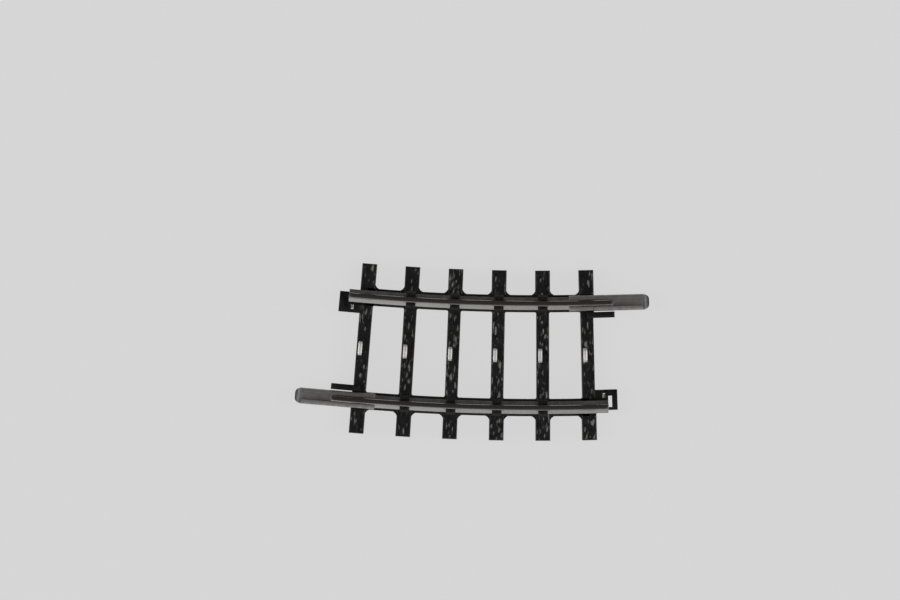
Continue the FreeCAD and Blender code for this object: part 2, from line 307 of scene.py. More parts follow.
def mend(piece):
    """Weld corners that meet and point every face outwards."""
    edit(piece)
    bpy.ops.mesh.remove_doubles(threshold=NEAR / 2)
    bpy.ops.mesh.normals_make_consistent(inside=False)
    drop_all()


def soften(piece, width, angle=30):
    """Round the edges as a mould or a press leaves them, by a width in millimetres."""
    apply_modifier(
        piece,
        "BEVEL",
        width=width * MM,
        segments=2,
        limit_method="ANGLE",
        angle_limit=math.radians(angle),
        use_clamp_overlap=True,
    )


def shade(piece):
    """Smooth shading that keeps the real edges."""
    take(piece)
    bpy.ops.object.shade_smooth_by_angle(angle=SHARP_FROM)


def carve(piece, other, operation="DIFFERENCE"):
    """Cut another piece out of this one, or fuse it on."""
    apply_modifier(piece, "BOOLEAN", operation=operation, object=other, solver="EXACT")
    bpy.data.objects.remove(other)


def finish_piece(piece, material, body=TRACK_BODY, nodes=()):
    """Shade a piece, give it its material, slot and body, and hide the CAD nodes it replaces.
    """
    shade(piece)
    piece.data.materials.clear()
    piece.data.materials.append(material)
    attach(piece, body)
    if nodes:
        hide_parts(*nodes)


# The curve

def sizes():
    """Sizes in the scene."""
    return bpy.context.scene.track_sizes


def finish():
    """Finishes in the scene."""
    return bpy.context.scene.track_finish


def rail_radius(rail):
    """Radius of a rail's centreline."""
    return sizes().curve_radius - rail * RAIL_OFFSET


def rail_length(rail):
    """Length along a rail between the end faces."""
    return rail_radius(rail) * sizes().section_angle


def angle_at(rail, end, distance):
    """Angle of a point this far along a rail from an end face."""
    return end * (sizes().section_angle / 2 - distance / rail_radius(rail))


def margin(rail):
    """Distance along a rail from an end face to the end sleeper's middle."""
    spread = sizes().sleeper_pitch * (sizes().sleeper_count - 1)
    return rail_radius(rail) * (sizes().section_angle - spread) / 2


def sleeper_angles():
    """Angle of each sleeper, left to right."""
    first = -sizes().sleeper_pitch * (sizes().sleeper_count - 1) / 2
    return [first + sizes().sleeper_pitch * i for i in range(sizes().sleeper_count)]


def standing_plate(name, y_range, z_range):
    """Upright rectangle across the track, the start of a swept section."""
    drop_all()
    bpy.ops.mesh.primitive_plane_add(
        size=1,
        location=(0, sum(y_range) / 2, sum(z_range) / 2),
        rotation=(0, math.pi / 2, 0),
    )
    piece = bpy.context.object
    piece.scale = (z_range[1] - z_range[0], y_range[1] - y_range[0], 1)
    piece.name = piece.data.name = name
    settle(piece)
    return piece


def sweep(piece, start, finish_angle, steps):
    """Spin a section about the centre of the curve between two angles."""
    low, high = min(start, finish_angle), max(start, finish_angle)
    centre = (0, sizes().curve_radius, 0)
    edit(piece)
    bpy.ops.mesh.spin(
        steps=steps, angle=high - low, center=centre, axis=(0, 0, 1), use_normal_flip=False
    )
    drop_all()
    # the spin goes one way or the other, so the piece is turned to where it belongs
    places = [corner.co.x for corner in piece.data.vertices]
    turn(piece, low if sum(places) > 0 else high)
    mend(piece)
    return piece


def rail_bar(name, rail, end, across, heights, along, steps):
    """Bar that follows a rail, by its limits in millimetres.

    Across is measured from the rail's middle towards the gauge, along from the end face.
    """
    y_range = sorted(rail * (RAIL_OFFSET - offset * MM) for offset in across)
    piece = standing_plate(name, y_range, [h * MM for h in heights])
    limits = [angle_at(rail, end, distance * MM) for distance in along]
    return sweep(piece, limits[0], limits[1], steps)


# Materials

# Sockets of the Mix node that share their names with those for other kinds of data
MIX_FLOAT_A, MIX_FLOAT_B, MIX_FLOAT_OUT = 2, 3, 0
MIX_COLOUR_A, MIX_COLOUR_B, MIX_COLOUR_OUT = 6, 7, 2


def add_node(tree, kind, inputs=(), stops=(), **settings):
    """Add a shader node with its settings, inputs and colour stops.

    An input is given a value, or the output of another node that it is linked to.
    """
    node = tree.nodes.new(kind)
    for name, value in settings.items():
        setattr(node, name, value)
    for socket, value in dict(inputs).items():
        if isinstance(value, bpy.types.NodeSocket):
            tree.links.new(value, node.inputs[socket])
        else:
            node.inputs[socket].default_value = value
    if stops:
        points = node.color_ramp.elements
        while len(points) < len(stops):
            points.new(0.5)
        for point, (place, colour) in zip(points, stops):
            point.position = place
            point.color = colour
    return node


def new_material(name):
    """Material with an empty node tree."""
    material = bpy.data.materials.new(name)
    material.use_nodes = True
    material.node_tree.nodes.clear()
    return material, material.node_tree


def grey(level):
    """Colour of an even grey."""
    return (level, level, level, 1.0)


def rail_direction(tree, length, width):
    """Coordinates that follow the curve, for lines of this length and width."""
    place = add_node(tree, "ShaderNodeTexCoord").outputs["Object"]
    centre = (0, sizes().curve_radius, 0)
    from_centre = add_node(
        tree, "ShaderNodeVectorMath", {0: place, 1: centre}, operation="SUBTRACT"
    ).outputs["Vector"]
    level = add_node(
        tree, "ShaderNodeVectorMath", {0: from_centre, 1: (1, 1, 0)}, operation="MULTIPLY"
    ).outputs["Vector"]
    radius = add_node(tree, "ShaderNodeVectorMath", {0: level}, operation="LENGTH")
    parts = add_node(tree, "ShaderNodeSeparateXYZ", {"Vector": place}).outputs
    drawn = add_node(
        tree,
        "ShaderNodeCombineXYZ",
        {"X": parts["X"], "Y": radius.outputs["Value"], "Z": parts["Z"]},
    ).outputs["Vector"]
    scale = (1 / length, 1 / width, 1 / width)
    return add_node(
        tree, "ShaderNodeVectorMath", {0: drawn, 1: scale}, operation="MULTIPLY"
    ).outputs["Vector"]


def black_polystyrene():
    """Black polystyrene, injection moulded against a spark-eroded mould.

    Close to black with a dull gloss; a grey highlight is painted on the tops of the embossed
    grain.
    """
    material, tree = new_material("black_polystyrene_moulded")
    place = add_node(tree, "ShaderNodeTexCoord").outputs["Object"]
    height = add_node(tree, "ShaderNodeSeparateXYZ", {"Vector": place}).outputs["Z"]
    top = sizes().sleeper_height
    # painted highlight on the tops of the grain, from 0.02 to 0.05 mm up
    raised = {"From Min": top + 0.022 * MM, "From Max": top + 0.05 * MM}
    on_grain = add_node(tree, "ShaderNodeMapRange", {"Value": height, **raised})
    # and not on the chairs, which stand more than 0.1 mm above the sleeper
    chairs_start = {"From Min": top + 0.12 * MM, "From Max": top + 0.2 * MM}
    below_chairs = add_node(
        tree,
        "ShaderNodeMapRange",
        {"Value": height, **chairs_start, "To Min": 1.0, "To Max": 0.0},
    )
    # the painted highlight comes and goes in patches about 3 mm long
    patches = add_node(
        tree, "ShaderNodeTexNoise", {"Vector": place, "Scale": 1 / (3 * MM), "Detail": 2.0}
    )
    patchy = add_node(
        tree,
        "ShaderNodeValToRGB",
        {"Fac": patches.outputs["Fac"]},
        [(0.36, grey(0)), (0.46, grey(1))],
    )
    painted_highlight_patches = add_node(
        tree,
        "ShaderNodeMath",
        {0: on_grain.outputs["Result"], 1: patchy.outputs["Color"]},
        operation="MULTIPLY",
    )
    painted_highlight_mask = add_node(
        tree,
        "ShaderNodeMath",
        {0: painted_highlight_patches.outputs["Value"], 1: below_chairs.outputs["Result"]},
        operation="MULTIPLY",
    )
    # the melt cools unevenly: a faint mottle about 1.2 mm across
    mottle = add_node(
        tree, "ShaderNodeTexNoise", {"Vector": place, "Scale": 1 / (1.2 * MM), "Detail": 4.0}
    ).outputs["Fac"]
    body = add_node(
        tree,
        "ShaderNodeValToRGB",
        {"Fac": mottle},
        [(0.3, finish().plastic), (0.75, linear("#171716"))],
    )
    # mixes the painted grey highlight into the black on the grain tops
    colour = add_node(
        tree,
        "ShaderNodeMix",
        {
            0: painted_highlight_mask.outputs["Value"],
            MIX_COLOUR_A: body.outputs["Color"],
            MIX_COLOUR_B: finish().painted_ridge_highlight,
        },
        data_type="RGBA",
    )
    gloss = add_node(
        tree, "ShaderNodeValToRGB", {"Fac": mottle}, [(0.3, grey(0.34)), (0.8, grey(0.48))]
    )
    # shallow wood grain all over: lines 0.2 mm apart and about 2 mm long
    fibre = (1 / (0.2 * MM), 1 / (2 * MM), 1 / (0.2 * MM))
    along = add_node(tree, "ShaderNodeVectorMath", {0: place, 1: fibre}, operation="MULTIPLY")
    wood = add_node(
        tree,
        "ShaderNodeTexNoise",
        {"Vector": along.outputs["Vector"], "Scale": 1.0, "Detail": 2.0},
    )
    lines = add_node(
        tree,
        "ShaderNodeBump",
        {"Height": wood.outputs["Fac"], "Strength": 0.5, "Distance": 0.04 * MM},
    )
    # spark-eroded mould grit, 0.06 mm
    grit = add_node(
        tree, "ShaderNodeTexNoise", {"Vector": place, "Scale": 1 / (0.06 * MM), "Detail": 3.0}
    )
    bump = add_node(
        tree,
        "ShaderNodeBump",
        {
            "Height": grit.outputs["Fac"],
            "Normal": lines.outputs["Normal"],
            "Strength": 0.35,
            "Distance": 0.015 * MM,
        },
    )
    surface = add_node(
        tree,
        "ShaderNodeBsdfPrincipled",
        {
            "Base Color": colour.outputs[MIX_COLOUR_OUT],
            "Roughness": gloss.outputs["Color"],
            "IOR": 1.59,
            "Specular IOR Level": 0.35,
            "Normal": bump.outputs["Normal"],
        },
    )
    add_node(tree, "ShaderNodeOutputMaterial", {"Surface": surface.outputs["BSDF"]})
    return material


def nickel_silver_rail():
    """Nickel silver, drawn through a die and polished on the head by wheels.

    Fine lines run along the rail; the head is smoother and glossier than the satin foot.
    """
    material, tree = new_material("nickel_silver_drawn")
    place = add_node(tree, "ShaderNodeTexCoord").outputs["Object"]
    height = add_node(tree, "ShaderNodeSeparateXYZ", {"Vector": place}).outputs["Z"]
    # the polish ends over the rounded edge of the head
    polish = {"From Min": RAIL_TOP - 0.16 * MM, "From Max": RAIL_TOP - 0.03 * MM}
    on_head = add_node(
        tree, "ShaderNodeMapRange", {"Value": height, **polish}
    ).outputs["Result"]
    # a thin dull film in patches about 1.6 mm across
    film = add_node(
        tree, "ShaderNodeTexNoise", {"Vector": place, "Scale": 1 / (1.6 * MM), "Detail": 5.0}
    ).outputs["Fac"]
    foot_tone = add_node(
        tree,
        "ShaderNodeValToRGB",
        {"Fac": film},
        [(0.25, linear("#A09E9A")), (0.7, finish().rail)],
    )
    colour = add_node(
        tree,
        "ShaderNodeMix",
        {
            0: on_head,
            MIX_COLOUR_A: foot_tone.outputs["Color"],
            MIX_COLOUR_B: finish().rail_head,
        },
        data_type="RGBA",
    )
    foot_gloss = add_node(
        tree, "ShaderNodeValToRGB", {"Fac": film}, [(0.2, grey(0.27)), (0.8, grey(0.38))]
    )
    gloss = add_node(
        tree,
        "ShaderNodeMix",
        {0: on_head, MIX_FLOAT_A: foot_gloss.outputs["Color"], MIX_FLOAT_B: 0.22},
        data_type="FLOAT",
    )
    # drawing lines 0.05 mm apart, many times longer than they are wide
    drawn = rail_direction(tree, 6 * MM, 0.05 * MM)
    lines = add_node(
        tree, "ShaderNodeTexNoise", {"Vector": drawn, "Scale": 1.0, "Detail": 3.0}
    )
    bump = add_node(
        tree,
        "ShaderNodeBump",
        {"Height": lines.outputs["Fac"], "Strength": 0.25, "Distance": 0.01 * MM},
    )
    surface = add_node(
        tree,
        "ShaderNodeBsdfPrincipled",
        {
            "Base Color": colour.outputs[MIX_COLOUR_OUT],
            "Roughness": gloss.outputs[MIX_FLOAT_OUT],
            "Metallic": 1.0,
            "Normal": bump.outputs["Normal"],
        },
    )
    add_node(tree, "ShaderNodeOutputMaterial", {"Surface": surface.outputs["BSDF"]})
    return material


def rolled_sheet(name, tone, dull_tone, gloss_range, line_gap, painted_shade_heights=None):
    """Rolled metal sheet, stamped and folded: satin, with faint roll lines and a dull film.

    The optional pair of heights is where a painted dark shade fades out: full below the
    first, none above the second.
    """
    material, tree = new_material(name)
    place = add_node(tree, "ShaderNodeTexCoord").outputs["Object"]
    # the dull film lies in patches about 1.1 mm across
    film = add_node(
        tree, "ShaderNodeTexNoise", {"Vector": place, "Scale": 1 / (1.1 * MM), "Detail": 5.0}
    ).outputs["Fac"]
    colour = add_node(
        tree, "ShaderNodeValToRGB", {"Fac": film}, [(0.3, dull_tone), (0.68, tone)]
    ).outputs["Color"]
    if painted_shade_heights:
        # painted shade: dark below the lower height, fading out by the upper one
        height = add_node(tree, "ShaderNodeSeparateXYZ", {"Vector": place}).outputs["Z"]
        fade = {"From Min": painted_shade_heights[0], "From Max": painted_shade_heights[1]}
        out_of_painted_shade = add_node(tree, "ShaderNodeMapRange", {"Value": height, **fade})
        colour = add_node(
            tree,
            "ShaderNodeMix",
            {
                0: out_of_painted_shade.outputs["Result"],
                MIX_COLOUR_A: linear("#1C1B1A"),
                MIX_COLOUR_B: colour,
            },
            data_type="RGBA",
        ).outputs[MIX_COLOUR_OUT]
    low, high = gloss_range
    gloss = add_node(
        tree, "ShaderNodeValToRGB", {"Fac": film}, [(0.25, grey(high)), (0.75, grey(low))]
    )
    rolled = rail_direction(tree, 4 * MM, line_gap)
    lines = add_node(
        tree, "ShaderNodeTexNoise", {"Vector": rolled, "Scale": 1.0, "Detail": 2.0}
    )
    bump = add_node(
        tree,
        "ShaderNodeBump",
        {"Height": lines.outputs["Fac"], "Strength": 0.2, "Distance": 0.01 * MM},
    )
    surface = add_node(
        tree,
        "ShaderNodeBsdfPrincipled",
        {
            "Base Color": colour,
            "Roughness": gloss.outputs["Color"],
            "Metallic": 1.0,
            "Normal": bump.outputs["Normal"],
        },
    )
    add_node(tree, "ShaderNodeOutputMaterial", {"Surface": surface.outputs["BSDF"]})
    return material


def joiner_steel():
    """Nickel-plated steel strip, rolled, stamped and folded.

    Satin grey with roll lines 0.08 mm apart; painted shade darkens it where it lies more than
    0.06 mm below the rail foot, as on its underside and turned-down tip.
    """
    return rolled_sheet(
        "plated_steel_strip_folded",
        finish().joiner,
        linear("#8B8A87"),
        (0.42, 0.58),
        0.08 * MM,
        (RAIL_BASE - 0.16 * MM, RAIL_BASE - 0.06 * MM),
    )


def stud_steel():
    """Stainless spring strip, stamped, with roll lines 0.06 mm apart.

    The studs' crowns are scoured pale and even by the sliding pickup.
    """
    return rolled_sheet(
        "stainless_spring_strip",
        finish().stud,
        linear("#E8E6E2"),
        (0.55, 0.66),
        0.06 * MM,
    )


def clip_bronze():
    """Tinned phosphor bronze strip, stamped and bent: pale and slightly dull."""
    return rolled_sheet(
        "tinned_phosphor_bronze",
        linear("#D8D3C6"),
        linear("#A8A296"),
        (0.34, 0.5),
        0.06 * MM,
    )


def opal_acrylic():
    """Opal acrylic sheet lit from below, as on a light table.

    An even pale glow that hides most shadows; matt, with a tooth of 0.4 mm that hardly shows.
    """
    material, tree = new_material("opal_acrylic_lit")
    place = add_node(tree, "ShaderNodeTexCoord").outputs["Object"]
    tooth = add_node(tree, "ShaderNodeTexNoise", {"Vector": place, "Scale": 1 / (0.4 * MM)})
    low, high = ([c * k for c in finish().floor[:3]] + [1.0] for k in (0.992, 1.0))
    glow = add_node(
        tree, "ShaderNodeValToRGB", {"Fac": tooth.outputs["Fac"]}, [(0.3, low), (0.7, high)]
    )
    surface = add_node(
        tree,
        "ShaderNodeBsdfPrincipled",
        {
            "Base Color": linear("#555555"),
            "Roughness": 0.9,
            "Specular IOR Level": 0.1,
            "Emission Color": glow.outputs["Color"],
            "Emission Strength": 0.9,
        },
    )
    add_node(tree, "ShaderNodeOutputMaterial", {"Surface": surface.outputs["BSDF"]})
    return material


MATERIALS = {}


def material_for(maker):
    """Make each material once."""
    if maker.__name__ not in MATERIALS:
        MATERIALS[maker.__name__] = maker()
    return MATERIALS[maker.__name__]


# Pieces of the moulding; the named sizes from here on are in millimetres

FACING = 0.9  # a face looks a way when its normal is at least this much along it
FLAT = 0.99
CLEAR_ABOVE = 6.0  # over the rails, for the tops of cutters
ALONG_STEPS = 48  # pieces as long as the track
TOP_THICKNESS = 0.9
HOLLOW_WALL = 0.3
WAIST_TAPER = 0.2
TOP_EDGE = 0.13


def plain_sleeper():
    """One sleeper at the middle of the curve, smooth, waisted and hollow underneath."""
    size = sizes()
    top = size.sleeper_height
    half_width, half_length = size.sleeper_width / 2, size.sleeper_length / 2
    piece = block("sleeper", (-half_width, half_width), (-half_length, half_length), (0, top))
    waist = RAIL_OFFSET - size.strip_width / 2
    taper = WAIST_TAPER * MM
    edit(piece)
    for place in (waist, waist - taper):
        for side in (1, -1):
            slice_at((0, side * place, 0), (0, 1, 0))
    choose(piece, "VERT", lambda part, middle: abs(middle.y) < waist - taper / 2)
    bpy.ops.transform.resize(
        value=(size.sleeper_waist / size.sleeper_width, 1, 1), center_override=(0, 0, 0)
    )
    choose(piece, "FACE", lambda part, middle: part.normal.z < -FACING)
    bpy.ops.mesh.inset(thickness=HOLLOW_WALL * MM)
    push((0, 0, top - TOP_THICKNESS * MM))

    def on_rim(part, middle):
        """Outer edges of the top."""
        beside = any(face.normal.z < 0.5 for face in part.link_faces)
        return abs(middle.z - top) < NEAR and beside

    choose(piece, "EDGE", on_rim)
    bpy.ops.mesh.bevel(offset=TOP_EDGE * MM, segments=2, affect="EDGES")
    return piece


# fine enough for the fibres, which are narrow across the sleeper and long along it
GRAIN_CELL = (0.085, 0.26)


def cut_grid(piece):
    """Cut the flat top into a fine grid so that grain can be raised on it."""
    size = sizes()
    top = size.sleeper_height

    def on_top(part, middle):
        """Flat top faces."""
        return part.normal.z > FLAT and abs(middle.z - top) < NEAR

    edit(piece)
    spans = (size.sleeper_width, size.sleeper_length)
    for span, gap, way in zip(spans, GRAIN_CELL, (Vector((1, 0, 0)), Vector((0, 1, 0)))):
        count = int(span / (gap * MM))
        for i in range(1, count):
            choose(piece, "FACE", on_top)
            bpy.ops.mesh.bisect(plane_co=way * (i * span / count - span / 2), plane_no=way)
    drop_all()


def grain_texture(name, width, contrast):
    """Procedural clouds of this width that the grain is raised from."""
    texture = bpy.data.textures.new(name, "CLOUDS")
    texture.noise_scale = width * MM
    texture.noise_depth = 1
    texture.noise_basis = "ORIGINAL_PERLIN"
    texture.contrast = contrast
    return texture


# the mould is more worn at one end: the grain of the first two sleepers is lower
GRAIN_SHARES = (0.8, 0.82, 1.0, 1.0, 1.05, 0.95)
# name, width, contrast, share of the height, and how far it is drawn out
GRAIN_LAYERS = (("fibres", 0.26, 2.8, 1.0, 0.2), ("knots", 1.3, 1.6, 0.45, 0.3))
# each sleeper is moved this far in the clouds, so that no two have the same grain
GRAIN_STEP = (9.1, 3.7)
GRAIN_RIM = 0.02
GRAIN_GROUP = "grain"


def raise_grain(piece, index):
    """Emboss wood grain on the top: fibres drawn out along the sleeper."""
    size = sizes()
    low_z = size.sleeper_height - NEAR
    edge_x = size.sleeper_width / 2 - TOP_EDGE * MM - GRAIN_RIM * MM
    corners = piece.data.vertices
    flat = [v.index for v in corners if v.co.z > low_z and abs(v.co.x) < edge_x]
    piece.vertex_groups.new(name=GRAIN_GROUP).add(flat, 1.0, "REPLACE")
    height = size.grain_height
    for name, width, contrast, share, squeeze in GRAIN_LAYERS:
        texture = grain_texture("%s_%d" % (name, index), width, contrast)
        # squeezed while the texture is read, so that its grains come out long
        piece.scale = (1, squeeze, 1)
        piece.location = ((index + 1) * GRAIN_STEP[0] * MM, index * GRAIN_STEP[1] * MM, 0)
        bpy.context.view_layer.update()
        apply_modifier(
            piece,
            "DISPLACE",
            texture=texture,
            texture_coords="GLOBAL",
            direction="Z",
            strength=height * share * GRAIN_SHARES[index % len(GRAIN_SHARES)],
            mid_level=0.5,
            vertex_group=GRAIN_GROUP,
        )
        piece.scale = (1, 1, 1)
        piece.location = (0, 0, 0)
    bpy.context.view_layer.update()
    piece.vertex_groups.clear()


RELIEF_TOP = 2.1
RELIEF_HALF = 1.5
JOINER_ROOM = 10.15
PLAIN_ROOM = 7.2
PAST_END = 1.0


def relief(rail, end):
    """Room that a joiner needs under the rail foot."""
    room = JOINER_ROOM if (rail, end) in JOINER_ENDS else PLAIN_ROOM
    across = (-RELIEF_HALF, RELIEF_HALF)
    heights = (RELIEF_TOP, CLEAR_ABOVE)
    return rail_bar("relief", rail, end, across, heights, (-PAST_END, room), 12)


STRIP_EDGE = 0.07
GROOVE_HALF = 0.6
BELOW = 1.0


def strip_bottom():
    """Height of the underside of the strips and socket blocks, in millimetres."""
    return (sizes().sleeper_height - sizes().strip_depth) / MM


def rail_strip(rail):
    """Strip under one rail, lower where the joiners go, grooved for the live strip."""
    size = sizes()
    half = size.strip_width / 2 / MM
    bottom, top = strip_bottom(), size.sleeper_height / MM
    ends = (margin(rail) / MM, (rail_length(rail) - margin(rail)) / MM)
    name = "rail_strip_inner" if rail == INNER else "rail_strip_outer"
    piece = rail_bar(name, rail, RIGHT, (-half, half), (bottom, top), ends, ALONG_STEPS)
    soften(piece, STRIP_EDGE)
    for end in (RIGHT, LEFT):
        carve(piece, relief(rail, end))
    if rail == INNER:
        across, heights = (-GROOVE_HALF, GROOVE_HALF), (bottom - BELOW, top - TOP_THICKNESS)
        carve(piece, rail_bar("groove", rail, RIGHT, across, heights, ends, ALONG_STEPS))
    return piece


# a lug's limits are from the edge of the rail foot and from the underside of the rail
LUG_HALF = 0.8
LUG_NEAR, LUG_FAR = 0.02, 0.5
LUG_BOTTOM, LUG_TOP = -0.15, 0.74
LUG_SLOPE = 0.42
HOOK_HEIGHT = 0.33
HOOK_REACH = 0.55
HOOK_SLOPE = 0.13
SPIKE_RADIUS, SPIKE_HEIGHT = 0.24, 0.22
SPIKE_PLACE = 0.12
CHAIR_EDGE = 0.07
A_BIT = 0.01  # keeps a test clear of the place it looks for


def chair_lug(side):
    """Lug hooked over one side of the rail foot, with a spike head on its shoulder."""
    foot = sizes().foot_width / 2
    low, top = RAIL_BASE + LUG_BOTTOM * MM, RAIL_BASE + LUG_TOP * MM
    hook = RAIL_BASE + HOOK_HEIGHT * MM
    half, near, far = LUG_HALF * MM, foot + LUG_NEAR * MM, foot + LUG_FAR * MM
    bit = A_BIT * MM
    piece = block("lug", (-half, half), (near, far), (low, top))

    def outer_top(part, middle):
        """Top edge on the far side."""
        return middle.z > top - NEAR and middle.y > far - bit

    def hook_side(part, middle):
        """Face over the rail foot."""
        return part.normal.y < -FACING and middle.z > hook + bit

    def hook_edge(part, middle):
        """Lower corners of the hook's tip."""
        return middle.y < near - HOOK_REACH * MM + bit and middle.z < hook + bit

    edit(piece)
    shift(piece, "EDGE", outer_top, (0, 0, -LUG_SLOPE * MM))
    slice_at((0, 0, hook), (0, 0, 1))
    choose(piece, "FACE", hook_side)
    push((0, -HOOK_REACH * MM, 0))
    shift(piece, "VERT", hook_edge, (0, 0, HOOK_SLOPE * MM))
    drop_all()
    soften(piece, CHAIR_EDGE)
    drop_all()
    bpy.ops.mesh.primitive_cylinder_add(
        vertices=16,
        radius=SPIKE_RADIUS * MM,
        depth=SPIKE_HEIGHT * MM,
        location=(0, foot - SPIKE_PLACE * MM, top),
    )
    spike = bpy.context.object
    settle(spike)
    soften(spike, CHAIR_EDGE)
    piece = join([piece, spike], "lug")
    if side < 0:
        piece.scale = (1, -1, 1)
        settle(piece)
        mend(piece)
    return piece


def chairs():
    """Chairs on both rails of the middle sleepers, a lug on each side of the foot."""
    lugs = []
    for side in (1, -1):
        pattern = chair_lug(side)
        for rail in (INNER, OUTER):
            for angle in sleeper_angles()[1:-1]:
                lug = twin(pattern, "lug")
                lug.location = (0, rail * RAIL_OFFSET, 0)
                settle(lug)
                lugs.append(turn(lug, angle))
        bpy.data.objects.remove(pattern)
    return join(lugs, "rail_chairs")


GUSSET_LEG = 0.8
GUSSET_ROOT = 0.1
GUSSET_DROP = 0.12
GUSSET_HOLLOW = 0.6  # share of the way that the far corner comes in
GUSSET_EDGE = 0.05


def gusset(rail, side):
    """Small web in the corner between a sleeper's side and a strip, hollow in front."""
    size = sizes()
    leg, root = GUSSET_LEG * MM, GUSSET_ROOT * MM
    x = side * size.sleeper_width / 2
    y = rail * (RAIL_OFFSET + size.strip_width / 2)
    far_x, far_y = x + side * leg, y + rail * leg
    piece = block(
        "gusset",
        sorted((x - side * root, far_x)),
        sorted((y - rail * root, far_y)),
        (size.sleeper_height - size.strip_depth, size.sleeper_height - GUSSET_DROP * MM),
    )

    def far_corner(part, middle):
        """Corners furthest from the sleeper and the strip."""
        return abs(middle.x - far_x) < NEAR and abs(middle.y - far_y) < NEAR

    inward = (leg + root) * GUSSET_HOLLOW
    edit(piece)
    shift(piece, "VERT", far_corner, (-side * inward, -rail * inward, 0))
    drop_all()
    soften(piece, GUSSET_EDGE)
    return piece


def gussets():
    """Gussets on the field side of both strips, but not outside the end sleepers."""
    webs = []
    for rail in (INNER, OUTER):
        for index, angle in enumerate(sleeper_angles()):
            for side in (1, -1):
                if index != (0 if side < 0 else sizes().sleeper_count - 1):
                    webs.append(turn(gusset(rail, side), angle))
    return join(webs, "strip_gussets")


TAB_WIDTH = 1.0
TAB_HEIGHTS = (2.35, 3.3)
TAB_EDGE = 0.1


def tab(rail, end):
    """Bar beside a joiner, out from the end sleeper to the end face."""
    name = "end_tab_right" if end == RIGHT else "end_tab_left"
    across = (RELIEF_HALF, RELIEF_HALF + TAB_WIDTH)
    piece = rail_bar(name, rail, end, across, TAB_HEIGHTS, (0, margin(rail) / MM), 10)
    soften(piece, TAB_EDGE)
    return piece


BLOCK_ACROSS = (-0.6, 2.85)
BLOCK_LAP = 0.14
BLOCK_EDGE = 0.06
POCKET_DEPTH = 0.2
TONGUE_ACROSS, TONGUE_ALONG = (-0.1, 1.8), (0.9, 1.55)
CLIP_ALONG = (2.05, 2.45)
CLIP_OPEN_ACROSS = (RELIEF_HALF, 2.25)
CLIP_UNDER_ACROSS = (-0.5, RELIEF_HALF)
CLIP_BRIDGE = 0.3
OVER_BLOCK = 3.0


def socket_block(rail, end):
    """Low block in front of a plain rail end, slotted for a tongue and a clip."""
    size = sizes()
    name = "socket_block_left" if end == LEFT else "socket_block_right"
    bottom, top = strip_bottom(), size.sleeper_height / MM
    reach = (margin(rail) - size.sleeper_width / 2) / MM + BLOCK_LAP
    piece = rail_bar(name, rail, end, BLOCK_ACROSS, (bottom, RELIEF_TOP), (0, reach), 10)
    soften(piece, BLOCK_EDGE)
    across, along = (RELIEF_HALF, BLOCK_ACROSS[1]), (CLIP_ALONG[1], reach)
    shoulder = rail_bar("shoulder", rail, end, across, (bottom, top), along, 4)
    soften(shoulder, BLOCK_EDGE)
    carve(piece, shoulder, "UNION")
    tongue_low = RELIEF_TOP - POCKET_DEPTH if end == LEFT else 0
    for across, heights, along in (
        (TONGUE_ACROSS, (tongue_low, OVER_BLOCK), TONGUE_ALONG),
        (CLIP_OPEN_ACROSS, (0, OVER_BLOCK), CLIP_ALONG),
        (CLIP_UNDER_ACROSS, (0, RELIEF_TOP - CLIP_BRIDGE), CLIP_ALONG),
    ):
        carve(piece, rail_bar("slot", rail, end, across, heights, along, 4))
    return piece


# Metal pieces

RAIL_WEB = 0.25
FOOT_EDGE = 0.3
JOINED_SETBACK = 0.25  # from the end face, where the rail has its joiner
PLAIN_SETBACK = 1.6
RAIL_STEPS = 72
RAIL_EDGE = 0.03


def rail_piece(rail, joiner_end):
    """Flat-bottomed rail: a section raised step by step, then spun along the curve."""
    size = sizes()
    name = "running_rail_inner" if rail == INNER else "running_rail_outer"
    foot, web, head = size.foot_width / 2, RAIL_WEB * MM, size.head_width / 2
    middle_y = rail * RAIL_OFFSET
    height, width = RAIL_BASE + FOOT_EDGE * MM, foot
    piece = standing_plate(name, (middle_y - foot, middle_y + foot), (RAIL_BASE, height))
    # height and half width up the slope of the foot, the web and the rounded head
    section = (
        (RAIL_BASE + 0.42 * MM, 0.55 * MM),
        (RAIL_BASE + 0.52 * MM, web + 0.08 * MM),
        (RAIL_BASE + 0.66 * MM, web),
        (RAIL_TOP - 0.78 * MM, web),
        (RAIL_TOP - 0.68 * MM, web + 0.08 * MM),
        (RAIL_TOP - 0.58 * MM, head),
        (RAIL_TOP - 0.16 * MM, head),
        (RAIL_TOP - 0.05 * MM, head - 0.05 * MM),
        (RAIL_TOP - 0.012 * MM, head - 0.17 * MM),
        (RAIL_TOP, head - 0.32 * MM),
    )
    edit(piece, "EDGE")
    for next_height, next_width in section:
        low = height - NEAR / 10
        choose(piece, "EDGE", lambda part, middle: middle.z > low)
        fold((0, 0, next_height - height))
        bpy.ops.transform.resize(
            value=(1, next_width / width, 1), center_override=(0, middle_y, next_height)
        )
        height, width = next_height, next_width
    drop_all()
    start = angle_at(rail, joiner_end, JOINED_SETBACK * MM)
    stop = angle_at(rail, -joiner_end, PLAIN_SETBACK * MM)
    sweep(piece, start, stop, RAIL_STEPS)
    soften(piece, RAIL_EDGE, angle=50)
    return piece


JOINER_SHEET = 0.2
JOINER_SIDE_GAP, JOINER_FLOOR_GAP = 0.08, 0.05
TIP_CORNER = 0.78
JOINER_FOLD = 0.13
LIP_START, LIP_END = 0.33, 0.45  # above the underside of the rail
LIP_WIDTH = 0.65
LIP_SETBACK = 0.8
JOINER_EDGE = 0.03


